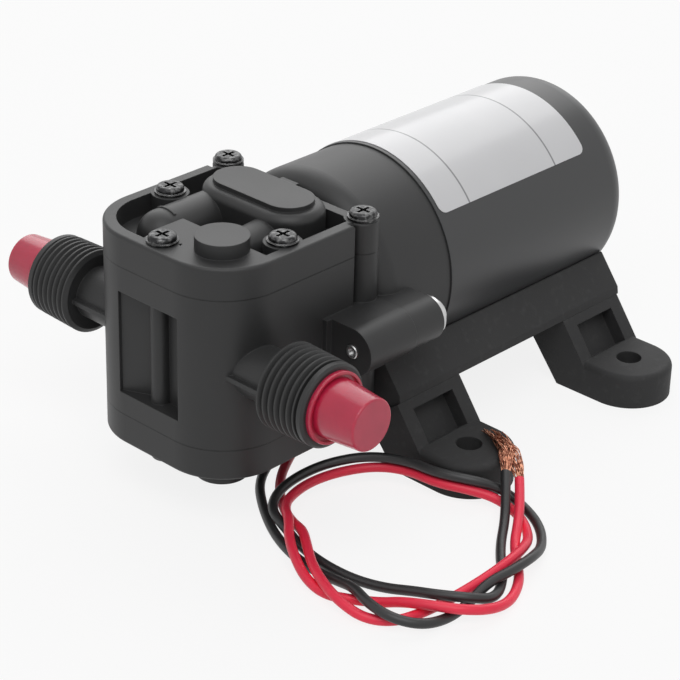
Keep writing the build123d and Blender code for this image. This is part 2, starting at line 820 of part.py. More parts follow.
with BuildPart() as housing:
    with BuildSketch(Plane.YZ.offset(housing_front)):
        with Locations((0, motor_z)):
            Circle(housing_radius)
    extrude(amount=housing_length)
    fillet(housing.faces().sort_by(Axis.X)[0].edges(), housing_corner_radius)
    with BuildSketch(Plane.YZ.offset(housing_rear)):
        with Locations((0, motor_z)):
            Circle(can_bore - stack_clearance)
    extrude(amount=lip_length)
    with BuildSketch(Plane.YZ.offset(housing_front)):
        boss_outline(boss_rear_radius)
    extrude(amount=boss_rear_length)
    with BuildSketch(Plane.YZ.offset(housing_front + housing_front_wall)):
        with Locations((0, motor_z)):
            Circle(housing_bore_radius)
            Circle(housing_boss_radius, mode=Mode.SUBTRACT)
    extrude(amount=housing_length, mode=Mode.SUBTRACT)
    with BuildSketch(Plane.YZ.offset(housing_front + bush_length + bush_margin)):
        with Locations((0, motor_z)):
            Circle(housing_bore_radius)
    extrude(amount=housing_length, mode=Mode.SUBTRACT)
    with BuildSketch(Plane.YZ.offset(housing_front)):
        with Locations((0, motor_z)):
            Circle(bush_radius)
        with Locations((boss_y, boss_z), (-boss_y, boss_z)):
            Circle(boss_screw_radius + screw_hole_clearance)
    extrude(amount=housing_length, mode=Mode.SUBTRACT)
    # Relief behind the two screw columns of the head
    with BuildSketch(Plane.XY.offset(seam_bottom)):
        with Locations(*column_places):
            Circle(column_radius + stack_clearance)
    extrude(amount=2 * seam_half, mode=Mode.SUBTRACT)
    # Hole for the wire grommet, straight down through the wall
    with BuildSketch(Plane.XY):
        with Locations((grommet_x, 0)):
            Circle(grommet_radius)
    extrude(amount=motor_z - housing_bore_radius + 1, mode=Mode.SUBTRACT)
save(housing.part, "motor_front_housing")

front_bush = ring(housing_front, bush_length, bush_radius, shaft_radius + running_clearance)
save(front_bush, "front_bush")

# Motor can: a deep-drawn cup with a bush pocket in its rear wall
with BuildPart() as hollow:
    with BuildSketch(Plane.YZ.offset(housing_rear)):
        with Locations((0, motor_z)):
            Circle(can_bore)
    extrude(amount=can_length - can_wall)
    fillet(hollow.faces().sort_by(Axis.X)[-1].edges(), can_corner_radius - can_wall)
with BuildPart() as can:
    with BuildSketch(Plane.YZ.offset(housing_rear)):
        with Locations((0, motor_z)):
            Circle(can_radius)
    extrude(amount=can_length)
    fillet(can.faces().sort_by(Axis.X)[-1].edges(), can_corner_radius)
    add(hollow.part, mode=Mode.SUBTRACT)
    with BuildSketch(Plane.YZ.offset(motor_rear - bush_length)):
        with Locations((0, motor_z)):
            Circle(bush_radius + can_wall)
    extrude(amount=bush_length - can_wall / 2)
    with BuildSketch(Plane.YZ.offset(motor_rear - bush_length)):
        with Locations((0, motor_z)):
            Circle(bush_radius)
    extrude(amount=bush_length, mode=Mode.SUBTRACT)
save(can.part, "motor_can")

rear_bush = ring(
    motor_rear - bush_length, bush_length - bush_margin, bush_radius, shaft_radius + running_clearance
)
save(rear_bush, "rear_bush")

# Magnets: two arcs inside the can, above and below the armature
magnet_outer = can_bore - seal_fit
magnet_inner = can_bore - magnet_thickness
magnet_start = housing_rear + lip_length + magnet_margin
magnet_arc = 130.0
magnets = []
for lean in (90, 270):
    with BuildPart() as magnet:
        with BuildSketch(Plane.XZ):
            with BuildLine():
                Polyline(
                    (magnet_start, motor_z + magnet_inner),
                    (magnet_start + magnet_length, motor_z + magnet_inner),
                    (magnet_start + magnet_length, motor_z + magnet_outer),
                    (magnet_start, motor_z + magnet_outer),
                    close=True,
                )
            make_face()
        revolve(axis=Axis((0, 0, motor_z), (1, 0, 0)), revolution_arc=magnet_arc)
    turned = magnet.part.rotate(Axis((0, 0, motor_z), (1, 0, 0)), lean - 90 - magnet_arc / 2)
    magnets.append(turned.solid())
save(Compound(magnets), "magnets")

# Rotor: shaft, laminated core, windings and commutator
core_radius = magnet_inner - air_gap
core_start = magnet_start + (magnet_length - core_length) / 2
slot_bottom = 9.0
slot_top = core_radius - 2.2
slot_width = 4.6
slot_mouth = 1.4
winding_bore = 6.0
winding_overhang = 6.0
winding_clearance = 0.15
shaft_start = bearing_start - shaft_margin
shaft_end = motor_rear - can_wall
with BuildPart() as shaft:
    with BuildSketch(Plane.YZ.offset(shaft_start)):
        with Locations((0, motor_z)):
            Circle(shaft_radius)
    extrude(amount=shaft_end - shaft_start)
    chamfer(shaft.edges().filter_by(GeomType.CIRCLE), shaft_chamfer)
save(shaft.part, "motor_shaft")

with BuildPart() as core:
    with BuildSketch(Plane.YZ.offset(core_start)):
        with Locations((0, motor_z)):
            Circle(core_radius)
            with PolarLocations((slot_bottom + slot_top) / 2, core_slots):
                RectangleRounded(
                    slot_top - slot_bottom, slot_width, slot_corner_radius, mode=Mode.SUBTRACT
                )
            with PolarLocations(core_radius, core_slots):
                Rectangle(2 * (core_radius - slot_top) + slot_corner_radius, slot_mouth, mode=Mode.SUBTRACT)
            Circle(shaft_radius, mode=Mode.SUBTRACT)
    extrude(amount=core_length)
save(core.part, "armature_core")

with BuildPart() as windings:
    with BuildSketch(Plane.YZ.offset(core_start - winding_overhang / 2)):
        with Locations((0, motor_z)):
            with PolarLocations((slot_bottom + slot_top) / 2, core_slots):
                RectangleRounded(
                    slot_top - slot_bottom - 2 * winding_clearance,
                    slot_width - 2 * winding_clearance,
                    slot_corner_radius - winding_clearance,
                )
    extrude(amount=core_length + winding_overhang)
    for start in (
        core_start - winding_overhang - winding_clearance,
        core_start + core_length + winding_clearance,
    ):
        with BuildSketch(Plane.YZ.offset(start)):
            with Locations((0, motor_z)):
                Circle(slot_top)
                Circle(winding_bore, mode=Mode.SUBTRACT)
        extrude(amount=winding_overhang)
save(windings.part, "armature_windings")

commutator_start = magnet_start - winding_overhang - commutator_length - commutator_margin
commutator_bars = 12
bar_gap_width = 0.5
bar_gap_depth = 1.0
with BuildPart() as commutator:
    with BuildSketch(Plane.YZ.offset(commutator_start)):
        with Locations((0, motor_z)):
            Circle(commutator_radius)
            with PolarLocations(commutator_radius, commutator_bars):
                Rectangle(2 * bar_gap_depth, bar_gap_width, mode=Mode.SUBTRACT)
            Circle(shaft_radius, mode=Mode.SUBTRACT)
    extrude(amount=commutator_length)
save(commutator.part, "commutator")

# Brush gear: a holder plate in the housing, two carbon brushes and their springs
brush_x = commutator_start + commutator_length / 2
brush_gap = 0.1
box_wall = 0.8
box_start = commutator_radius + 2.0
box_end = housing_bore_radius - box_wall
spring_radius = 1.9
spring_wall = 0.6
plate_start = brush_x - brush_width / 2 - box_wall - brush_plate_thickness
with BuildPart() as brush_holder:
    with BuildSketch(Plane.YZ.offset(plate_start)):
        with Locations((0, motor_z)):
            Circle(housing_bore_radius - stack_clearance)
            Circle(box_start, mode=Mode.SUBTRACT)
    extrude(amount=brush_plate_thickness)
    with BuildSketch(Plane.YZ.offset(plate_start + brush_plate_thickness)):
        for side in (-1, 1):
            with Locations((side * (box_start + box_end) / 2, motor_z)):
                Rectangle(box_end - box_start, brush_height + 2 * box_wall)
    extrude(amount=brush_width + 2 * box_wall)
    with BuildSketch(Plane.YZ.offset(brush_x - brush_width / 2 - brush_gap)):
        for side in (-1, 1):
            with Locations((side * ((box_start + box_end) / 2 - box_wall), motor_z)):
                Rectangle(box_end - box_start, brush_height + 2 * brush_gap)
    extrude(amount=brush_width + 2 * brush_gap, mode=Mode.SUBTRACT)
save(brush_holder.part, "brush_holder")

brushes = []
springs = []
for side in (-1, 1):
    tip = commutator_radius + brush_gap
    with BuildPart() as brush:
        with Locations((brush_x, side * (tip + brush_length / 2), motor_z)):
            Box(brush_width, brush_length, brush_height)
    brushes.append(brush.part.solid())
    with BuildPart() as spring:
        spring_y = tip + brush_length + brush_gap + brush_spring_length / 2
        with Locations((brush_x, side * spring_y, motor_z)):
            Cylinder(spring_radius, brush_spring_length, rotation=(90, 0, 0))
            Cylinder(
                spring_radius - spring_wall, brush_spring_length, rotation=(90, 0, 0), mode=Mode.SUBTRACT
            )
    springs.append(spring.part.solid())
save(Compound(brushes), "brushes")
save(Compound(springs), "brush_springs")

# Label: a thin sheet round the top of the can, with round corners
label_reach = 2 * can_radius
label_wedge = [
    (0, motor_z),
    (label_reach * sin(radians(label_half_angle)), motor_z + label_reach * cos(radians(label_half_angle))),
    (0, motor_z + 2 * label_reach),
    (-label_reach * sin(radians(label_half_angle)), motor_z + label_reach * cos(radians(label_half_angle))),
]
with BuildPart() as label:
    with BuildSketch(Plane.YZ.offset(label_start)):
        with Locations((0, motor_z)):
            Circle(can_radius + label_thickness)
            Circle(can_radius, mode=Mode.SUBTRACT)
        with BuildLine():
            Polyline(*label_wedge, close=True)
        make_face(mode=Mode.INTERSECT)
    extrude(amount=label_length)
    corner_edges = label.edges().filter_by(lambda edge: abs(edge.length - label_thickness) < near)
    fillet(corner_edges, label_corner_radius)
save(label.part, "motor_label")

# Cradle: the saddle under the motor, slanted outside, with seats for the four feet
foot_slope = Vector(0, foot_outer_top[0] - cradle_bottom_y, foot_outer_top[1] - cradle_bottom_z).normalized()
seat_middle = (
    (foot_outer_top[0] + cradle_bottom_y) / 2,
    (foot_outer_top[1] + cradle_bottom_z) / 2,
)


def foot_peg(x, side, radius, length):
    """A round peg standing on the slanted seat between a foot and the cradle."""
    seat = Plane(
        origin=(x, side * seat_middle[0], seat_middle[1]),
        x_dir=(1, 0, 0),
        z_dir=(0, -side * foot_slope.Z, foot_slope.Y),
    )
    with BuildPart() as peg:
        with BuildSketch(seat):
            Circle(radius)
        extrude(amount=length)
    return peg.part


with BuildPart() as cradle:
    half_section = [
        (0, cradle_bottom_z),
        (cradle_bottom_y, cradle_bottom_z),
        foot_outer_top,
        cradle_shoulder,
        (cradle_top_y, cradle_top_z),
        (0, cradle_top_z),
    ]
    with BuildSketch(Plane.YZ.offset(cradle_front)):
        with BuildLine():
            Polyline(*half_section, close=True)
        make_face()
        mirror(about=Plane.YZ)
    extrude(amount=cradle_rear - cradle_front)
    with BuildSketch(Plane.YZ.offset(cradle_front)):
        with Locations((0, motor_z)):
            Circle(can_radius + cradle_seat_gap)
    extrude(amount=cradle_rear - cradle_front, mode=Mode.SUBTRACT)
    # Notch in the front end for the grommet and the leads
    notch_length = grommet_x - cradle_front + grommet_flange_radius + notch_margin
    with BuildSketch(Plane.XY):
        with Locations((cradle_front, 0)):
            Rectangle(2 * notch_length, 2 * (grommet_flange_radius + notch_margin))
    extrude(amount=motor_z, mode=Mode.SUBTRACT)
    for x, side in foot_places.values():
        add(
            foot_peg(x, side, foot_peg_radius + foot_peg_clearance, foot_peg_length + foot_peg_clearance),
            mode=Mode.SUBTRACT,
        )
save(cradle.part, "motor_cradle")

# Feet: a slanted leg with a pocket in its outer face, and a round pad with a hole
pocket_plane_normal = Vector(
    0, foot_outer_top[1] - foot_pad_thickness, foot_outer_bottom_y - foot_outer_top[0]
).normalized()
leg_face_length = Vector(
    0, foot_outer_bottom_y - foot_outer_top[0], foot_outer_top[1] - foot_pad_thickness
).length


def make_foot(x):
    """The foot on the +Y side, centred on x."""
    hole_y = foot_spacing_y / 2
    with BuildPart() as foot:
        with BuildSketch(Plane.YZ.offset(x - foot_end_radius)):
            with BuildLine():
                Polyline(
                    foot_outer_top,
                    (foot_outer_bottom_y, foot_pad_thickness),
                    (hole_y + foot_end_radius, foot_pad_thickness),
                    (hole_y + foot_end_radius, 0),
                    (foot_inner_bottom_y, 0),
                    (cradle_bottom_y, cradle_bottom_z),
                    close=True,
                )
            make_face()
        extrude(amount=2 * foot_end_radius)
        # Round end of the pad
        with BuildSketch(Plane.XY):
            with Locations((x, hole_y)):
                Circle(foot_end_radius)
            with Locations((x, hole_y / 2)):
                Rectangle(2 * foot_end_radius, hole_y)
        extrude(amount=motor_z, mode=Mode.INTERSECT)
        top_edges = foot.edges().filter_by_position(
            Axis.Z, foot_pad_thickness - near, foot_pad_thickness + near
        )
        outer_edges = top_edges.filter_by_position(
            Axis.Y, foot_outer_bottom_y + near, hole_y + foot_end_radius
        )
        fillet(outer_edges, foot_edge_radius)
        # Pocket in the leg's outer face, open at the pad
        middle_y = (foot_outer_top[0] + foot_outer_bottom_y) / 2
        middle_z = (foot_outer_top[1] + foot_pad_thickness) / 2
        face = Plane(origin=(x, middle_y, middle_z), x_dir=(1, 0, 0), z_dir=pocket_plane_normal)
        with BuildSketch(face):
            with Locations((0, foot_pocket_rail / 2 * (1 if face.y_dir.Z < 0 else -1))):
                Rectangle(foot_pocket_width, leg_face_length - foot_pocket_rail)
        extrude(amount=-foot_pocket_depth, mode=Mode.SUBTRACT)
        with BuildSketch(Plane.XY):
            with Locations((x, hole_y)):
                Circle(foot_hole_radius)
        extrude(amount=foot_pad_thickness, mode=Mode.SUBTRACT)
        add(foot_peg(x, 1, foot_peg_radius, foot_peg_length))
    return foot.part


for name, (x, side) in foot_places.items():
    foot_part = make_foot(x)
    save(foot_part if side > 0 else across(foot_part), name)


# Cover screws: pan heads on the covers, shanks down into the head body
def pan_screw(x, y):
    """One screw in the upper cover: a flared pan head with a cross recess, its axis along Z."""
    head_top = cover_top + screw_head_height
    with BuildPart() as screw:
        with BuildSketch(Plane.XZ.offset(-y)):
            with BuildLine():
                Polyline(
                    (x, cover_top - screw_shank_length),
                    (x + screw_shank_radius, cover_top - screw_shank_length),
                    (x + screw_shank_radius, cover_top),
                    (x + screw_head_radius, cover_top),
                    (x + screw_head_radius, cover_top + screw_head_rim),
                    (x + screw_head_waist, cover_top + screw_head_rim),
                    (x + screw_head_top, head_top),
                    (x, head_top),
                    close=True,
                )
            make_face()
        revolve(axis=Axis((x, y, 0), (0, 0, 1)))
        fillet(screw.faces().sort_by(Axis.Z)[-1].edges(), screw_head_edge)
        with BuildSketch(Plane.XY.offset(head_top)):
            with Locations((x, y)):
                Rectangle(screw_cross_width, screw_cross_length)
                Rectangle(screw_cross_length, screw_cross_width)
        extrude(amount=-screw_cross_depth, mode=Mode.SUBTRACT)
    return screw.part


top_screws = [pan_screw(x, y) for x, y in cover_screw_places]
save(Compound([screw.solid() for screw in top_screws]), "upper_cover_screws")
save(Compound([lower(screw).solid() for screw in top_screws]), "lower_cover_screws")

# Long screws through the side bosses, from the motor side into the head
boss_screws = []
for side in (-1, 1):
    with BuildPart() as boss_screw:
        with BuildSketch(Plane.YZ.offset(boss_rear)):
            with Locations((side * boss_y, boss_z)):
                Circle(boss_screw_flange_radius)
        extrude(amount=boss_screw_flange)
        with BuildSketch(Plane.YZ.offset(boss_rear + boss_screw_flange)):
            with Locations((side * boss_y, boss_z)):
                Circle(boss_screw_head_radius)
        extrude(amount=boss_screw_head_height)
        fillet(boss_screw.faces().sort_by(Axis.X)[-1].edges(), boss_screw_head_height / 2)
        with BuildSketch(Plane.YZ.offset(boss_rear)):
            with Locations((side * boss_y, boss_z)):
                Circle(boss_screw_radius)
        extrude(amount=boss_front - boss_screw_tip - boss_rear)
        chamfer(boss_screw.faces().sort_by(Axis.X)[0].edges(), boss_screw_tip / 2)
        with BuildSketch(Plane.YZ.offset(boss_front - boss_screw_tip)):
            with Locations((side * boss_y, boss_z)):
                Circle(boss_screw_dimple_radius)
        extrude(amount=boss_screw_dimple_depth, mode=Mode.SUBTRACT)
    boss_screws.append(boss_screw.part.solid())
save(Compound(boss_screws), "boss_screws")

# Transport caps: thin-walled plugs with a flange against the collar's end
plug_radius = port_mouth_radius - cap_clearance
plug_end_radius = plug_radius - cap_plug_taper
flange_top = collar_end + cap_flange_thickness
cap_tip = flange_top + cap_body_length
with BuildPart() as cap:
    with BuildSketch(Plane.XY.offset(port_z)):
        with BuildLine():
            profile = [
                (0, cap_tip),
                (cap_end_radius, cap_tip),
                (cap_body_radius, flange_top),
                (cap_body_radius, flange_top - cap_moat_depth),
                (cap_body_radius + cap_moat_width, flange_top - cap_moat_depth),
                (cap_body_radius + cap_moat_width, flange_top),
                (cap_flange_radius, flange_top),
                (cap_flange_radius, collar_end),
                (plug_radius, collar_end),
                (plug_end_radius, collar_end - cap_plug_length),
                (plug_end_radius - cap_wall, collar_end - cap_plug_length),
                (cap_end_radius - cap_wall, cap_tip - cap_wall),
                (0, cap_tip - cap_wall),
            ]
            Polyline(*[(port_x + radius, y) for radius, y in profile], close=True)
        make_face()
    revolve(axis=Axis((port_x, 0, port_z), (0, 1, 0)))
    tip_edges = cap.edges().filter_by_position(Axis.Y, cap_tip - near, cap_tip + near)
    fillet(tip_edges, cap_tip_edge)
    flange_edges = cap.edges().filter_by_position(Axis.Y, flange_top - near, flange_top + near)
    fillet(flange_edges.filter_by(GeomType.CIRCLE).sort_by(SortBy.LENGTH)[-1], cap_flange_edge)
save(cap.part, "inlet_cap")
save(across(cap.part), "outlet_cap")

# Grommet in the bottom of the motor housing, under the brush gear
grommet_bottom = motor_z - housing_radius - grommet_flange
with BuildPart() as grommet:
    with BuildSketch(Plane.XY.offset(grommet_bottom)):
        with Locations((grommet_x, 0)):
            Circle(grommet_flange_radius)
    extrude(amount=2 * grommet_flange)
    with BuildSketch(Plane.YZ.offset(grommet_x - grommet_flange_radius)):
        with Locations((0, motor_z)):
            Circle(housing_radius + grommet_fit)
    extrude(amount=2 * grommet_flange_radius, mode=Mode.SUBTRACT)
    with BuildSketch(Plane.XY.offset(grommet_bottom)):
        with Locations((grommet_x, 0)):
            Circle(grommet_radius - grommet_fit)
    extrude(amount=motor_z - housing_bore_radius - grommet_bottom)
save(grommet.part, "wire_grommet")

# Wires: two free leads that make a loose double loop on the floor, and climb to the foot
floor_z = wire_radius + wire_lift
red_route = [
    (grommet_x, -wire_spread, grommet_bottom),
    (grommet_x, -wire_spread, 8.5),
    (-41.8, -3.0, 3.8),
    (-48.5, -5.2, 1.6),
    (-58.0, -9.5, floor_z),
    (-68.0, -15.6, floor_z),
    (-75.6, -23.8, floor_z),
    (-80.0, -31.5, 1.7),
    (-83.0, -38.3, 3.6),
    (-87.3, -43.6, 4.4),
    (-92.3, -50.0, 4.3),
    (-96.0, -57.0, 4.1),
    (-98.0, -64.0, 3.4),
    (-97.2, -70.8, 1.6),
    (-93.0, -76.2, floor_z),
    (-86.0, -78.2, floor_z),
    (-77.5, -79.0, floor_z),
    (-69.0, -80.2, 2.4),
    (-61.5, -81.4, 4.3),
    (-52.5, -79.6, 3.8),
    (-44.5, -75.0, floor_z),
    (-38.8, -67.5, floor_z),
    (-38.4, -59.5, 2.6),
    (-42.2, -54.0, 4.1),
    (-45.7, -46.6, 4.3),
    (-46.0, -38.0, 4.2),
    (-50.0, -30.8, 4.0),
    (-58.5, -26.2, 3.9),
    (-67.5, -24.7, 3.9),
    (-75.8, -26.3, 3.9),
    (-80.8, -30.2, 4.7),
    (-83.8, -34.6, 5.6),
    (-88.5, -39.0, 4.8),
    (-92.8, -45.0, 4.2),
    (-95.8, -51.5, 2.4),
    (-96.2, -58.0, floor_z),
    (-93.0, -64.0, floor_z),
    (-89.8, -69.2, 1.5),
    (-88.2, -74.0, 3.3),
    (-85.8, -80.0, 4.2),
    (-82.0, -86.0, 4.0),
    (-75.8, -89.6, 2.8),
    (-68.3, -89.2, floor_z),
    (-60.5, -85.3, floor_z),
    (-55.0, -79.9, floor_z),
    (-49.8, -74.7, floor_z),
    (-43.8, -70.8, 2.9),
    (-38.4, -66.8, 4.6),
    (-33.3, -62.2, 6.8),
]
black_route = [
    (grommet_x, wire_spread, grommet_bottom),
    (grommet_x, wire_spread, 8.5),
    (-42.4, 0.4, 3.9),
    (-50.0, -2.4, 1.6),
    (-60.8, -6.8, floor_z),
    (-72.0, -12.5, floor_z),
    (-80.0, -22.0, floor_z),
    (-86.5, -32.5, floor_z),
    (-90.0, -42.5, floor_z),
    (-90.8, -51.0, floor_z),
    (-91.0, -57.5, 2.2),
    (-92.5, -63.5, 4.1),
    (-95.3, -70.5, 4.5),
    (-95.3, -77.5, 4.0),
    (-91.0, -82.6, 2.6),
    (-83.5, -83.8, floor_z),
    (-75.5, -83.0, floor_z),
    (-69.0, -82.8, 3.6),
    (-62.5, -84.2, 4.4),
    (-54.0, -83.5, 3.9),
    (-45.5, -79.8, floor_z),
    (-38.6, -73.2, floor_z),
    (-35.0, -64.5, 1.7),
    (-36.8, -58.4, 4.6),
    (-42.0, -54.3, 6.9),
    (-45.7, -46.6, 7.1),
    (-46.2, -37.7, 6.9),
    (-51.0, -29.2, 6.7),
    (-59.0, -23.5, 5.6),
    (-67.5, -21.3, 4.4),
    (-76.0, -22.8, 4.1),
    (-82.6, -27.3, 4.1),
    (-84.3, -33.8, 2.8),
    (-86.0, -41.0, floor_z),
    (-87.4, -50.0, floor_z),
    (-87.0, -58.5, floor_z),
    (-85.0, -66.0, 1.6),
    (-83.0, -73.0, 3.2),
    (-81.5, -78.8, 4.3),
    (-77.9, -84.6, 4.6),
    (-71.3, -87.0, 2.2),
    (-63.0, -82.5, floor_z),
    (-57.0, -76.6, floor_z),
    (-51.2, -71.8, floor_z),
    (-44.8, -67.6, 2.4),
    (-39.8, -63.5, 5.4),
    (-35.0, -59.2, 8.2),
]
red_strand_route = [
    (-33.3, -62.2, 6.8),
    (-31.0, -60.1, 7.8),
    (-28.6, -57.0, 9.8),
    (-26.3, -53.2, 10.3),
    (-24.2, -48.5, 9.95),
]
black_strand_route = [
    (-35.0, -59.2, 8.2),
    (-32.8, -57.2, 9.5),
    (-30.1, -54.2, 10.5),
    (-27.4, -50.2, 10.1),
    (-26.0, -45.5, 9.95),
]


def lay_tube(route, radius, name):
    """Save a tube of straight runs joined by tangent arcs, each as large as its runs allow."""
    corners = [Vector(*point) for point in route]
    radii = []
    for before, corner, after in zip(corners, corners[1:], corners[2:]):
        run_in = corner - before
        run_out = after - corner
        half_turn = radians(run_in.get_angle(run_out) / 2)
        radii.append(run_share * min(run_in.length, run_out.length) / tan(half_turn))
    with BuildPart() as tube:
        with BuildLine() as centre_line:
            FilletPolyline(*route, radius=radii)
        with BuildSketch(Plane(origin=corners[0], z_dir=corners[1] - corners[0])):
            Circle(radius)
        sweep()
    centre = centre_line.wires()[0]
    length = centre.length
    section = pi * radius**2
    print(
        f"{name}: length {length:.1f} mm, radii {min(radii):.1f} to {max(radii):.1f} mm,",
        f"volume {tube.part.volume:.1f} against {section * length:.1f} mm3",
    )
    save(tube.part, name)
    samples = round(length)
    return [centre.position_at(index / samples) for index in range(samples + 1)]


def least_gap(first, second, skip):
    """The least clear gap between two wires' centre lines, leaving out near stretches of one wire."""
    return min(
        (point - other).length
        for index, point in enumerate(first)
        for place, other in enumerate(second)
        if abs(index - place) > skip
    ) - 2 * wire_radius


red_line = lay_tube(red_route, wire_radius, "red_wire")
black_line = lay_tube(black_route, wire_radius, "black_wire")
lay_tube(red_strand_route, strand_radius, "red_wire_strands")
lay_tube(black_strand_route, strand_radius, "black_wire_strands")
near_stretch = 15
print(
    f"least gaps: red {least_gap(red_line, red_line, near_stretch):.2f},",
    f"black {least_gap(black_line, black_line, near_stretch):.2f},",
    f"between them {least_gap(red_line, black_line, -1):.2f} mm",
)
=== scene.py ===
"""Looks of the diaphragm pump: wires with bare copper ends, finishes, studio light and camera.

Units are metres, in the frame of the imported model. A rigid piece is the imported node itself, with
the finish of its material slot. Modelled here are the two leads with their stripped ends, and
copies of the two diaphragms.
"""

import json
import math
import random

import bpy
from mathutils import Matrix, Vector


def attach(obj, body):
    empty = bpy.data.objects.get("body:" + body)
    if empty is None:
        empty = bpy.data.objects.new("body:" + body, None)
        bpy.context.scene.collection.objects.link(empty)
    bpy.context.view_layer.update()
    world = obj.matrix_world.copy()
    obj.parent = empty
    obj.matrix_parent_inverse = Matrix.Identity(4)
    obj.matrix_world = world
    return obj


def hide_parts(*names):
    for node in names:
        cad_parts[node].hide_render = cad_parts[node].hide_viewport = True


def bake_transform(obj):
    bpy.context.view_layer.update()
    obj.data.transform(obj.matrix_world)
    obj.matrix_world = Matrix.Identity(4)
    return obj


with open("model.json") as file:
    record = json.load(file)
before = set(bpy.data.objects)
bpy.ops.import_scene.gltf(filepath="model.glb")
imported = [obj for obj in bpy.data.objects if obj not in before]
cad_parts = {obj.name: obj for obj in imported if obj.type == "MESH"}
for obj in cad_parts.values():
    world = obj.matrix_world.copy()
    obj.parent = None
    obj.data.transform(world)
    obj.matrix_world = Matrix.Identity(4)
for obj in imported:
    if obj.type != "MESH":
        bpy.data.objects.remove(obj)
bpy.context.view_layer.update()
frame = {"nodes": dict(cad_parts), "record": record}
record = frame["record"]
nodes = frame["nodes"]

# Camera, fitted to the photograph
CAMERA_TARGET = Vector((-0.03067, 0.0, 0.01993))
CAMERA_DISTANCE = 0.597
CAMERA_AZIMUTH = math.radians(-47.19)
CAMERA_ELEVATION = math.radians(27.72)
CAMERA_ROLL = math.radians(1.51)
SENSOR_WIDTH = 36.0
FOCAL_PIXELS = 2354.4
PHOTO_WIDTH = 680
CLIP_START = 0.01
CLIP_END = 20.0

# Wires, whose routes are the same points as in the part's source
WIRE_DIAMETER = 0.0024
WIRE_ROUNDNESS = 5
WIRE_SMOOTHNESS = 8
SPLINE_ORDER = 3
RED_ROUTE = [
    (-0.038, -0.0019, 0.0136),
    (-0.038, -0.0019, 0.0085),
    (-0.0418, -0.003, 0.0038),
    (-0.0485, -0.0052, 0.0016),
    (-0.058, -0.0095, 0.00125),
    (-0.068, -0.0156, 0.00125),
    (-0.0756, -0.0238, 0.00125),
    (-0.08, -0.0315, 0.0017),
    (-0.083, -0.0383, 0.0036),
    (-0.0873, -0.0436, 0.0044),
    (-0.0923, -0.05, 0.0043),
    (-0.096, -0.057, 0.0041),
    (-0.098, -0.064, 0.0034),
    (-0.0972, -0.0708, 0.0016),
    (-0.093, -0.0762, 0.00125),
    (-0.086, -0.0782, 0.00125),
    (-0.0775, -0.079, 0.00125),
    (-0.069, -0.0802, 0.0024),
    (-0.0615, -0.0814, 0.0043),
    (-0.0525, -0.0796, 0.0038),
    (-0.0445, -0.075, 0.00125),
    (-0.0388, -0.0675, 0.00125),
    (-0.0384, -0.0595, 0.0026),
    (-0.0422, -0.054, 0.0041),
    (-0.0457, -0.0466, 0.0043),
    (-0.046, -0.038, 0.0042),
    (-0.05, -0.0308, 0.004),
    (-0.0585, -0.0262, 0.0039),
    (-0.0675, -0.0247, 0.0039),
    (-0.0758, -0.0263, 0.0039),
    (-0.0808, -0.0302, 0.0047),
    (-0.0838, -0.0346, 0.0056),
    (-0.0885, -0.039, 0.0048),
    (-0.0928, -0.045, 0.0042),
    (-0.0958, -0.0515, 0.0024),
    (-0.0962, -0.058, 0.00125),
    (-0.093, -0.064, 0.00125),
    (-0.0898, -0.0692, 0.0015),
    (-0.0882, -0.074, 0.0033),
    (-0.0858, -0.08, 0.0042),
    (-0.082, -0.086, 0.004),
    (-0.0758, -0.0896, 0.0028),
    (-0.0683, -0.0892, 0.00125),
    (-0.0605, -0.0853, 0.00125),
    (-0.055, -0.0799, 0.00125),
    (-0.0498, -0.0747, 0.00125),
    (-0.0438, -0.0708, 0.0029),
    (-0.0384, -0.0668, 0.0046),
    (-0.0333, -0.0622, 0.0068),
]
BLACK_ROUTE = [
    (-0.038, 0.0019, 0.0136),
    (-0.038, 0.0019, 0.0085),
    (-0.0424, 0.0004, 0.0039),
    (-0.05, -0.0024, 0.0016),
    (-0.0608, -0.0068, 0.00125),
    (-0.072, -0.0125, 0.00125),
    (-0.08, -0.022, 0.00125),
    (-0.0865, -0.0325, 0.00125),
    (-0.09, -0.0425, 0.00125),
    (-0.0908, -0.051, 0.00125),
    (-0.091, -0.0575, 0.0022),
    (-0.0925, -0.0635, 0.0041),
    (-0.0953, -0.0705, 0.0045),
    (-0.0953, -0.0775, 0.004),
    (-0.091, -0.0826, 0.0026),
    (-0.0835, -0.0838, 0.00125),
    (-0.0755, -0.083, 0.00125),
    (-0.069, -0.0828, 0.0036),
    (-0.0625, -0.0842, 0.0044),
    (-0.054, -0.0835, 0.0039),
    (-0.0455, -0.0798, 0.00125),
    (-0.0386, -0.0732, 0.00125),
    (-0.035, -0.0645, 0.0017),
    (-0.0368, -0.0584, 0.0046),
    (-0.042, -0.0543, 0.0069),
    (-0.0457, -0.0466, 0.0071),
    (-0.0462, -0.0377, 0.0069),
    (-0.051, -0.0292, 0.0067),
    (-0.059, -0.0235, 0.0056),
    (-0.0675, -0.0213, 0.0044),
    (-0.076, -0.0228, 0.0041),
    (-0.0826, -0.0273, 0.0041),
    (-0.0843, -0.0338, 0.0028),
    (-0.086, -0.041, 0.00125),
    (-0.0874, -0.05, 0.00125),
    (-0.087, -0.0585, 0.00125),
    (-0.085, -0.066, 0.0016),
    (-0.083, -0.073, 0.0032),
    (-0.0815, -0.0788, 0.0043),
    (-0.0779, -0.0846, 0.0046),
    (-0.0713, -0.087, 0.0022),
    (-0.063, -0.0825, 0.00125),
    (-0.057, -0.0766, 0.00125),
    (-0.0512, -0.0718, 0.00125),
    (-0.0448, -0.0676, 0.0024),
    (-0.0398, -0.0635, 0.0054),
    (-0.035, -0.0592, 0.0082),
]
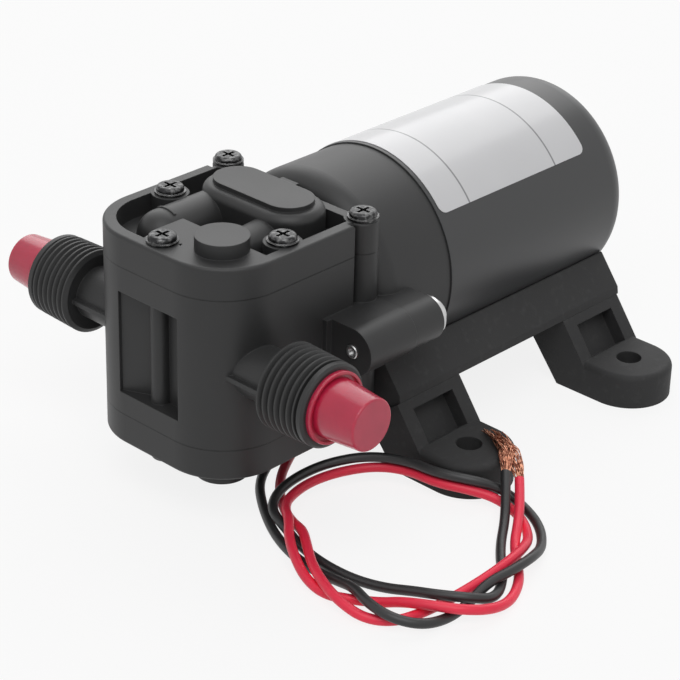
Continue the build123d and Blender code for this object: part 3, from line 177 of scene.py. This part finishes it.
RED_STRAND_ROUTE = [
    (-0.0333, -0.0622, 0.0068),
    (-0.0317, -0.06, 0.0083),
    (-0.0294, -0.0566, 0.01),
    (-0.0267, -0.052, 0.0104),
    (-0.0247, -0.0472, 0.0101),
]
BLACK_STRAND_ROUTE = [
    (-0.035, -0.0592, 0.0082),
    (-0.0327, -0.0575, 0.0098),
    (-0.0299, -0.0543, 0.0108),
    (-0.0271, -0.0496, 0.0105),
    (-0.0248, -0.0432, 0.01),
]
RED_SEED = 4
BLACK_SEED = 9

# Bare ends: thin strands that leave the insulation as a bundle and fray over the foot
STRAND_RADIUS = 0.00013
STRAND_ROUNDNESS = 1
STRAND_SMOOTHNESS = 3
STRAND_COUNT = 34
STRAND_STEPS = 9
STRAND_TWIST = (1.0, 4.5)
STRAND_REACH = (0.72, 1.0)
# Half width of the bundle where it starts and where it has frayed, how soon it frays, how wide
# and how high it is beside that, and how far a strand strays at its tip
STRAND_BUNDLE = 0.0008
STRAND_SPREAD = 0.0016
STRAND_FRAY = 2.4
STRAND_WIDER = 1.35
STRAND_FLATTER = 0.55
STRAND_WAVE = 0.0007

# Colours of the pieces, as linear values
HEAD_COLOUR = (0.026, 0.0262, 0.0266)
CAN_COLOUR = (0.034, 0.0345, 0.036)
CRADLE_COLOUR = (0.03, 0.03, 0.0305)
FOOT_COLOUR = (0.026, 0.026, 0.0265)
LABEL_COLOUR = (0.74, 0.74, 0.755)
RULE_COLOUR = (0.12, 0.12, 0.13)
CAP_COLOUR = (0.52, 0.02, 0.065)
WIRE_RED = (0.98, 0.036, 0.085)
WIRE_BLACK = (0.022, 0.022, 0.023)
SEAL_COLOUR = (0.03, 0.03, 0.031)
VALVE_COLOUR = (0.6, 0.59, 0.55)
YOKE_COLOUR = (0.75, 0.73, 0.66)
HOLDER_COLOUR = (0.16, 0.13, 0.1)
SCREW_COLOUR = (0.03, 0.03, 0.031)
SCREW_BLOTCH = (0.12, 0.12, 0.12)
# Edge colour of the screws: wear and a painted highlight
SCREW_WEAR_AND_HIGHLIGHT = (0.4, 0.4, 0.4)
ZINC_COLOUR = (0.5, 0.5, 0.5)
STEEL_COLOUR = (0.58, 0.58, 0.59)
SHEET_COLOUR = (0.3, 0.3, 0.31)
COPPER_COLOUR = (0.8, 0.4, 0.26)
COPPER_BROWN = (0.24, 0.075, 0.045)
ENAMEL_COLOUR = (0.5, 0.16, 0.06)
BRONZE_COLOUR = (0.45, 0.29, 0.13)
FERRITE_COLOUR = (0.06, 0.06, 0.065)
CARBON_COLOUR = (0.03, 0.03, 0.03)

# Fine marks: rules round the label, seams round the head in front of its rear face, drawn as lines
# of painted shadow in the gap, and the motor's steel sheets. A line fades out over the last of its width
LABEL_RULES = (-0.0094, 0.024)
RULE_WIDTH = 0.0004
RULE_STRENGTH = 0.75
SEAM_HEIGHTS = (0.0206, 0.0594)
SEAM_SHADOW_WIDTH = 0.00028
SEAM_SHADOW_STRENGTH = 0.85
SEAM_SHADOW_COLOUR = (0.002, 0.002, 0.002)
HEAD_END = -0.0478
LAMINATION_SCALE = 320.0
LINE_FADE = 0.8

# Material nodes: how finely a Bevel is sampled, and the sockets of a colour Mix, whose names
# its other kinds share
BEVEL_SAMPLES = 4
MIX_FIRST = 6
MIX_SECOND = 7
MIX_RESULT = 2

# Each diaphragm with the height of its rim's inner face and of its middle's outer face
DIAPHRAGM_BENDS = [("upper_diaphragm", 0.0546, 0.054), ("lower_diaphragm", 0.0254, 0.026)]

# Floor and light. A lamp has its name, place, size and level, which is the brightness that it
# gives a white surface facing it
FLOOR_SIZE = 6.0
FLOOR_COLOUR = (0.95, 0.95, 0.95)
FLOOR_WHITE = 0.85
ROOM_LEVEL = 0.18
ROOM_WHITE = 1.0
LAMPS = (
    ("back_softbox", (0.8, 0.75, 1.1), 1.8, 0.6),
    ("key_softbox", (-0.65, -0.6, 1.3), 1.2, 0.45),
)


def make_camera():
    """The camera that the photograph was taken with."""
    back = Vector(
        (
            math.sin(CAMERA_AZIMUTH) * math.cos(CAMERA_ELEVATION),
            -math.cos(CAMERA_AZIMUTH) * math.cos(CAMERA_ELEVATION),
            math.sin(CAMERA_ELEVATION),
        )
    )
    right = Vector((math.cos(CAMERA_AZIMUTH), math.sin(CAMERA_AZIMUTH), 0.0))
    axes = Matrix((right, back.cross(right), back)).transposed().to_4x4()
    data = bpy.data.cameras.new("photo_camera")
    data.sensor_width = SENSOR_WIDTH
    data.lens = FOCAL_PIXELS / PHOTO_WIDTH * SENSOR_WIDTH
    data.clip_start = CLIP_START
    data.clip_end = CLIP_END
    camera = bpy.data.objects.new("photo_camera", data)
    roll = Matrix.Rotation(CAMERA_ROLL, 4, "Z")
    camera.matrix_world = Matrix.Translation(CAMERA_TARGET + CAMERA_DISTANCE * back) @ axes @ roll
    bpy.context.scene.collection.objects.link(camera)
    bpy.context.scene.camera = camera


def new_curve(name):
    """An empty round curve object, as thick as its points' radii."""
    data = bpy.data.curves.new(name, "CURVE")
    data.dimensions = "3D"
    data.bevel_depth = 1.0
    data.use_fill_caps = True
    piece = bpy.data.objects.new(name, data)
    bpy.context.scene.collection.objects.link(piece)
    return piece


def add_spline(piece, points, radius, resolution):
    """One smooth round spline with these control points."""
    spline = piece.data.splines.new("NURBS")
    spline.points.add(len(points) - 1)
    for control, point in zip(spline.points, points):
        control.co = (*point, 1.0)
        control.radius = radius
    spline.order_u = SPLINE_ORDER
    spline.use_endpoint_u = True
    spline.resolution_u = resolution


def make_wire(name, route, node):
    """An insulated lead along its route."""
    wire = new_curve(name)
    wire.data.bevel_resolution = WIRE_ROUNDNESS
    add_spline(wire, route, WIRE_DIAMETER / 2, WIRE_SMOOTHNESS)
    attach(wire, "pump")
    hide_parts(node)
    return wire


def along(route, share):
    """The point at this share of a polyline's runs."""
    place = share * (len(route) - 1)
    index = min(int(place), len(route) - 2)
    start = Vector(route[index])
    return start.lerp(Vector(route[index + 1]), place - index)


def make_bare_end(name, route, node, seed):
    """The stripped end of a lead: thin strands that start together and fray towards their tips."""
    draw = random.Random(seed)
    strands = new_curve(name)
    strands.data.bevel_resolution = STRAND_ROUNDNESS
    heading = (Vector(route[-1]) - Vector(route[0])).normalized()
    side = heading.cross(Vector((0.0, 0.0, 1.0))).normalized()
    rise = side.cross(heading).normalized()
    for _ in range(STRAND_COUNT):
        start_angle = draw.uniform(0.0, 2 * math.pi)
        twist = draw.uniform(*STRAND_TWIST)
        reach = draw.uniform(*STRAND_REACH)
        offset = math.sqrt(draw.random())
        points = []
        for step in range(STRAND_STEPS):
            share = reach * step / (STRAND_STEPS - 1)
            angle = start_angle + twist * share
            frayed = (STRAND_SPREAD - STRAND_BUNDLE) * math.sin(STRAND_FRAY * share)
            spread = offset * (STRAND_BUNDLE + frayed)
            wave = STRAND_WAVE * share
            point = along(route, share)
            point += side * (STRAND_WIDER * spread * math.cos(angle) + draw.uniform(-wave, wave))
            point += rise * (STRAND_FLATTER * spread * math.sin(angle) + draw.uniform(-wave, wave))
            points.append(point)
        add_spline(strands, points, STRAND_RADIUS, STRAND_SMOOTHNESS)
    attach(strands, "pump")
    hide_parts(node)
    return strands


def scaled(colour, factor):
    """A colour made lighter or darker by this factor."""
    return [channel * factor for channel in colour]


class Finish:
    """A node material on a Principled shader, with helpers for the parts that the finishes share."""

    def __init__(self, name, colour, roughness, **sockets):
        self.material = bpy.data.materials.new(name)
        self.material.use_nodes = True
        self.tree = self.material.node_tree
        self.shader = self.tree.nodes["Principled BSDF"]
        self.colour = (*colour, 1.0)
        self.shader.inputs["Base Color"].default_value = self.colour
        self.shader.inputs["Roughness"].default_value = roughness
        self.roughness = roughness
        for socket, value in sockets.items():
            self.shader.inputs[socket.replace("_", " ")].default_value = value
        self.place = self.node("ShaderNodeTexCoord").outputs["Object"]

    def node(self, kind, **settings):
        """A new node of this kind with these settings."""
        made = self.tree.nodes.new(kind)
        for setting, value in settings.items():
            setattr(made, setting, value)
        return made

    def link(self, output, entry):
        """Joins an output to an input."""
        self.tree.links.new(output, entry)

    def noise(self, size, detail=3.0, stretch=None):
        """A noise with lumps of about this size. A small factor in stretch draws them out."""
        place = self.place
        if stretch:
            mapping = self.node("ShaderNodeMapping")
            mapping.inputs["Scale"].default_value = stretch
            self.link(place, mapping.inputs["Vector"])
            place = mapping.outputs["Vector"]
        texture = self.node("ShaderNodeTexNoise")
        texture.inputs["Scale"].default_value = 1.0 / size
        texture.inputs["Detail"].default_value = detail
        self.link(place, texture.inputs["Vector"])
        return texture.outputs["Fac"]

    def spread(self, value, low, high, start=0.3, end=0.7):
        """The value mapped from the span of start to end onto low to high."""
        mapped = self.node("ShaderNodeMapRange")
        for entry, number in (("From Min", start), ("From Max", end), ("To Min", low), ("To Max", high)):
            mapped.inputs[entry].default_value = number
        self.link(value, mapped.inputs["Value"])
        return mapped.outputs["Result"]

    def tint(self, factor, colour):
        """Mixes another colour in by the factor."""
        entry = self.shader.inputs["Base Color"]
        mix = self.node("ShaderNodeMix", data_type="RGBA")
        if entry.is_linked:
            self.link(entry.links[0].from_socket, mix.inputs[MIX_FIRST])
        else:
            mix.inputs[MIX_FIRST].default_value = self.colour
        mix.inputs[MIX_SECOND].default_value = (*colour, 1.0)
        self.link(factor, mix.inputs["Factor"])
        self.link(mix.outputs[MIX_RESULT], entry)

    def mottle(self, size, amount):
        """A cloudy lighter and darker colour, and a roughness that changes with it."""
        cloud = self.noise(size)
        self.tint(self.spread(cloud, low=0.0, high=1.0), scaled(self.colour[:3], 1.0 + amount))
        swing = amount / 3
        rough = self.spread(
            cloud, low=self.roughness * (1.0 - swing), high=self.roughness * (1.0 + swing)
        )
        self.link(rough, self.shader.inputs["Roughness"])

    def wear_and_highlight(self, edge, colour, amount=1.0):
        """A lighter line along the edges, part wear and part painted highlight, broken up in patches."""
        worn = self.node("ShaderNodeBevel", samples=BEVEL_SAMPLES)
        worn.inputs["Radius"].default_value = edge
        true_normal = self.node("ShaderNodeNewGeometry").outputs["Normal"]
        dot = self.node("ShaderNodeVectorMath", operation="DOT_PRODUCT")
        self.link(worn.outputs["Normal"], dot.inputs[0])
        self.link(true_normal, dot.inputs[1])
        edges = self.spread(dot.outputs["Value"], low=amount, high=0.0, start=0.78, end=0.99)
        patches = self.spread(self.noise(size=0.006), low=0.25, high=1.0, start=0.4, end=0.6)
        self.tint(self.product(edges, patches), colour)

    def product(self, first, second):
        """Two values multiplied."""
        both = self.node("ShaderNodeMath", operation="MULTIPLY")
        self.link(first, both.inputs[0])
        self.link(second, both.inputs[1])
        return both.outputs["Value"]

    def axes(self):
        """The place on the piece, split in X, Y and Z."""
        split = self.node("ShaderNodeSeparateXYZ")
        self.link(self.place, split.inputs["Vector"])
        return split.outputs

    def line(self, coordinate, place, width, strength):
        """The strength where this coordinate has this value, in a thin line, and 0 elsewhere."""
        away = self.node("ShaderNodeMath", operation="SUBTRACT")
        self.link(coordinate, away.inputs[0])
        away.inputs[1].default_value = place
        size = self.node("ShaderNodeMath", operation="ABSOLUTE")
        self.link(away.outputs["Value"], size.inputs[0])
        return self.spread(
            size.outputs["Value"], low=strength, high=0.0, start=width / 2, end=LINE_FADE * width
        )

    def relief(self, height, depth, edge=None):
        """A bump from the height value, over edges that are rounded by this radius."""
        bump = self.node("ShaderNodeBump")
        bump.inputs["Strength"].default_value = 1.0
        bump.inputs["Distance"].default_value = depth
        self.link(height, bump.inputs["Height"])
        if edge:
            rounded = self.node("ShaderNodeBevel", samples=BEVEL_SAMPLES)
            rounded.inputs["Radius"].default_value = edge
            self.link(rounded.outputs["Normal"], bump.inputs["Normal"])
        self.link(bump.outputs["Normal"], self.shader.inputs["Normal"])


def moulded_plastic(name, colour, roughness, seams=(), **sockets):
    """Satin moulded plastic with a fine grain, cloudy flow marks and a painted highlight along its
    edges.

    The seams are heights at which two mouldings of the head meet, each drawn as a thin line of painted
    shadow.
    """
    finish = Finish(name, colour, roughness, **sockets)
    finish.mottle(size=0.018, amount=0.16)
    # Lighter edges: a painted highlight
    finish.wear_and_highlight(edge=0.0003, colour=scaled(colour, 1.7), amount=0.55)
    # Painted shadow: a thin dark line in the gap at each seam, on the head only
    for height in seams:
        axes = finish.axes()
        on_head = finish.node("ShaderNodeMath", operation="LESS_THAN")
        finish.link(axes["X"], on_head.inputs[0])
        on_head.inputs[1].default_value = HEAD_END
        seam_shadow = finish.line(axes["Z"], height, SEAM_SHADOW_WIDTH, SEAM_SHADOW_STRENGTH)
        finish.tint(finish.product(seam_shadow, on_head.outputs["Value"]), SEAM_SHADOW_COLOUR)
    finish.relief(finish.noise(size=0.00035, detail=2.0), depth=0.000012, edge=0.0003)
    return finish.material


def moulded_rubber(name, colour):
    """Matte rubber with a dusty bloom, scuffs and a painted highlight on its edges, and a coarser grain.
    """
    finish = Finish(name, colour, roughness=0.72, Specular_IOR_Level=0.35)
    finish.mottle(size=0.012, amount=0.25)
    bloom = finish.noise(size=0.0022, detail=6.0)
    finish.tint(finish.spread(bloom, low=0.0, high=0.35, start=0.55, end=0.75), scaled(colour, 2.2))
    # Lighter edges: scuffs and a painted highlight
    finish.wear_and_highlight(edge=0.0004, colour=scaled(colour, 2.0), amount=0.6)
    finish.relief(finish.noise(size=0.0005, detail=4.0), depth=0.00003, edge=0.0004)
    return finish.material


def can_paint(name):
    """Semi-gloss paint over a drawn steel can, with faint drawing lines along it."""
    finish = Finish(name, CAN_COLOUR, roughness=0.42, Coat_Weight=0.12, Coat_Roughness=0.3)
    finish.mottle(size=0.03, amount=0.12)
    lines = finish.noise(size=0.004, detail=2.0, stretch=(0.06, 1.0, 1.0))
    finish.relief(lines, depth=0.000015, edge=0.0004)
    return finish.material


def label_film(name):
    """Glossy white film, blank but for two thin rules round the can."""
    finish = Finish(name, LABEL_COLOUR, roughness=0.3, Coat_Weight=0.35, Coat_Roughness=0.15)
    finish.mottle(size=0.02, amount=-0.04)
    for place in LABEL_RULES:
        rule = finish.line(finish.axes()["X"], place, RULE_WIDTH, RULE_STRENGTH)
        finish.tint(rule, RULE_COLOUR)
    finish.relief(finish.noise(size=0.009, detail=2.0), depth=0.00002)
    return finish.material


def soft_cap(name):
    """Translucent raspberry plastic that light sinks into."""
    finish = Finish(
        name,
        CAP_COLOUR,
        roughness=0.2,
        Subsurface_Weight=0.35,
        Subsurface_Radius=(0.004, 0.001, 0.0012),
        Subsurface_Scale=0.6,
        Coat_Weight=0.15,
        Coat_Roughness=0.25,
    )
    finish.mottle(size=0.006, amount=0.14)
    finish.relief(finish.noise(size=0.0011, detail=2.0), depth=0.000025, edge=0.0003)
    return finish.material


def turned_metal(name, colour, roughness):
    """Bare or plated metal with fine machining streaks and a few dull patches."""
    finish = Finish(name, colour, roughness, Metallic=1.0)
    finish.mottle(size=0.0015, amount=0.18)
    streaks = finish.noise(size=0.00018, detail=2.0, stretch=(1.0, 1.0, 0.05))
    finish.relief(streaks, depth=0.000006, edge=0.00015)
    return finish.material


def black_screw(name):
    """Black oxide screw, worn bright and with a painted highlight on the edges of its head and recess.
    """
    finish = Finish(name, SCREW_COLOUR, roughness=0.3, Metallic=0.9)
    blotches = finish.noise(size=0.0011, detail=4.0)
    finish.tint(finish.spread(blotches, low=0.0, high=1.0, start=0.48, end=0.64), SCREW_BLOTCH)
    # Lighter edges: wear and a painted highlight
    finish.wear_and_highlight(edge=0.00025, colour=SCREW_WEAR_AND_HIGHLIGHT, amount=0.9)
    finish.relief(finish.noise(size=0.0006), depth=0.00009, edge=0.0002)
    return finish.material


def wire_sleeve(name, colour):
    """Extruded insulation with a soft sheen and slight waves in its thickness."""
    finish = Finish(name, colour, roughness=0.42)
    finish.mottle(size=0.01, amount=0.12)
    finish.relief(finish.noise(size=0.0025, detail=2.0), depth=0.00004)
    return finish.material


def bare_copper(name):
    """Fine drawn copper, bright where strands rub and brown between them."""
    finish = Finish(name, COPPER_COLOUR, roughness=0.34, Metallic=0.85)
    shade = finish.noise(size=0.0009)
    finish.tint(finish.spread(shade, low=0.0, high=0.95, start=0.42, end=0.58), COPPER_BROWN)
    finish.relief(finish.noise(size=0.0002, detail=2.0), depth=0.00001)
    return finish.material


def pressed_powder(name, colour, roughness, metallic=0.0):
    """Sintered or pressed pieces with an even, slightly open grain."""
    finish = Finish(name, colour, roughness, Metallic=metallic)
    finish.mottle(size=0.002, amount=0.3)
    finish.relief(finish.noise(size=0.0002, detail=5.0), depth=0.00003, edge=0.0002)
    return finish.material


def wound_wire(name):
    """Enamelled winding wire: close ridges under a glossy varnish."""
    finish = Finish(name, ENAMEL_COLOUR, roughness=0.28, Metallic=0.6, Coat_Weight=0.5)
    finish.mottle(size=0.003, amount=0.25)
    ridges = finish.noise(size=0.0003, detail=2.0, stretch=(0.1, 1.0, 1.0))
    finish.relief(ridges, depth=0.00012)
    return finish.material


def stacked_sheets(name):
    """The edges of thin steel sheets stacked along the shaft."""
    finish = Finish(name, SHEET_COLOUR, roughness=0.45, Metallic=1.0)
    finish.mottle(size=0.002, amount=0.25)
    sheets = finish.node("ShaderNodeTexWave", bands_direction="X")
    sheets.inputs["Scale"].default_value = LAMINATION_SCALE
    finish.link(finish.place, sheets.inputs["Vector"])
    finish.relief(sheets.outputs["Fac"], depth=0.00006)
    return finish.material


def make_finishes():
    """A material for each slot of the record, by the slot's name."""
    head = {"seams": SEAM_HEIGHTS, "Specular_IOR_Level": 0.4}
    makers = {
        "head_plastic": (moulded_plastic, {"colour": HEAD_COLOUR, "roughness": 0.46, **head}),
        "can_paint": (can_paint, {}),
        "label_white": (label_film, {}),
        "cradle_rubber": (moulded_rubber, {"colour": CRADLE_COLOUR}),
        "foot_rubber": (moulded_rubber, {"colour": FOOT_COLOUR}),
        "screw_black": (black_screw, {}),
        "screw_zinc": (turned_metal, {"colour": ZINC_COLOUR, "roughness": 0.3}),
        "cap_red": (soft_cap, {}),
        "seal_rubber": (moulded_rubber, {"colour": SEAL_COLOUR}),
        "valve_plastic": (moulded_plastic, {"colour": VALVE_COLOUR, "roughness": 0.45}),
        "yoke_plastic": (moulded_plastic, {"colour": YOKE_COLOUR, "roughness": 0.42}),
        "steel": (turned_metal, {"colour": STEEL_COLOUR, "roughness": 0.25}),
        "laminations": (stacked_sheets, {}),
        "copper": (bare_copper, {}),
        "enamel": (wound_wire, {}),
        "bronze": (pressed_powder, {"colour": BRONZE_COLOUR, "roughness": 0.45, "metallic": 1.0}),
        "ferrite": (pressed_powder, {"colour": FERRITE_COLOUR, "roughness": 0.6}),
        "carbon": (pressed_powder, {"colour": CARBON_COLOUR, "roughness": 0.5}),
        "holder_plastic": (moulded_plastic, {"colour": HOLDER_COLOUR, "roughness": 0.5}),
        "wire_red": (wire_sleeve, {"colour": WIRE_RED}),
        "wire_black": (wire_sleeve, {"colour": WIRE_BLACK}),
    }
    return {slot: maker(slot, **settings) for slot, (maker, settings) in makers.items()}


def dress_nodes(finishes):
    """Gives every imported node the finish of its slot."""
    for part in record["subparts"]:
        data = nodes[part["node"]].data
        data.materials.clear()
        data.materials.append(finishes[part["material_slot"]])


def bend_diaphragms():
    """Puts a copy of each diaphragm, as it is, in place of its imported node, which is hidden."""
    for name, rim_height, middle_height in DIAPHRAGM_BENDS:
        sheet = bpy.data.objects.new(name + "_sheet", nodes[name].data.copy())
        sheet.matrix_world = nodes[name].matrix_world.copy()
        bpy.context.scene.collection.objects.link(sheet)
        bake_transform(sheet)
        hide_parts(name)


def seen_directly(tree):
    """1 where the camera looks at a surface, straight or by a mirror or glass, and otherwise 0."""
    path = tree.nodes.new("ShaderNodeLightPath")
    seen = path.outputs["Is Camera Ray"]
    for way in ("Is Glossy Ray", "Is Transmission Ray"):
        either = tree.nodes.new("ShaderNodeMath")
        either.operation = "MAXIMUM"
        tree.links.new(seen, either.inputs[0])
        tree.links.new(path.outputs[way], either.inputs[1])
        seen = either.outputs["Value"]
    return seen


def make_floor():
    """A plain floor, nearly white where the camera sees it, that keeps the pump's soft shadow."""
    data = bpy.data.meshes.new("floor")
    half = FLOOR_SIZE / 2
    corners = [(-half, -half, 0.0), (half, -half, 0.0), (half, half, 0.0), (-half, half, 0.0)]
    data.from_pydata(corners, [], [(0, 1, 2, 3)])
    floor = bpy.data.objects.new("floor", data)
    bpy.context.scene.collection.objects.link(floor)
    finish = Finish("floor", FLOOR_COLOUR, roughness=0.9, Specular_IOR_Level=0.1)
    finish.mottle(size=0.8, amount=-0.01)
    share = finish.node("ShaderNodeMath", operation="MULTIPLY")
    finish.link(seen_directly(finish.tree), share.inputs[0])
    share.inputs[1].default_value = FLOOR_WHITE
    paper = finish.node("ShaderNodeEmission")
    mixed = finish.node("ShaderNodeMixShader")
    finish.link(share.outputs["Value"], mixed.inputs["Fac"])
    finish.link(finish.shader.outputs["BSDF"], mixed.inputs[1])
    finish.link(paper.outputs["Emission"], mixed.inputs[2])
    finish.link(mixed.outputs["Shader"], finish.tree.nodes["Material Output"].inputs["Surface"])
    data.materials.append(finish.material)


def make_lights():
    """A room that is seen as pure white, a broad lamp behind the pump and a smaller one before it."""
    world = bpy.data.worlds.new("studio")
    world.use_nodes = True
    bpy.context.scene.world = world
    tree = world.node_tree
    room = tree.nodes["Background"]
    room.inputs["Color"].default_value = (1.0, 1.0, 1.0, 1.0)
    level = tree.nodes.new("ShaderNodeMapRange")
    level.inputs["To Min"].default_value = ROOM_LEVEL
    level.inputs["To Max"].default_value = ROOM_WHITE
    tree.links.new(seen_directly(tree), level.inputs["Value"])
    tree.links.new(level.outputs["Result"], room.inputs["Strength"])
    for name, place, size, lamp_level in LAMPS:
        data = bpy.data.lights.new(name, "AREA")
        data.shape = "SQUARE"
        data.size = size
        distance = (Vector(place) - CAMERA_TARGET).length
        data.energy = lamp_level * (math.pi * distance) ** 2
        lamp = bpy.data.objects.new(name, data)
        lamp.location = place
        lamp.rotation_mode = "QUATERNION"
        lamp.rotation_quaternion = (CAMERA_TARGET - Vector(place)).to_track_quat("-Z", "Y")
        bpy.context.scene.collection.objects.link(lamp)


def main():
    """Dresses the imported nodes, adds the leads and diaphragms, and sets camera, floor and light."""
    scene = bpy.context.scene
    scene.view_settings.view_transform = "Standard"
    make_camera()
    finishes = make_finishes()
    dress_nodes(finishes)
    leads = (
        ("red", RED_ROUTE, RED_STRAND_ROUTE, "wire_red", RED_SEED),
        ("black", BLACK_ROUTE, BLACK_STRAND_ROUTE, "wire_black", BLACK_SEED),
    )
    for name, route, strand_route, slot, seed in leads:
        wire = make_wire(name + "_lead", route, name + "_wire")
        wire.data.materials.append(finishes[slot])
        strands = make_bare_end(name + "_bare_end", strand_route, name + "_wire_strands", seed)
        strands.data.materials.append(finishes["copper"])
    bend_diaphragms()
    make_floor()
    make_lights()


main()
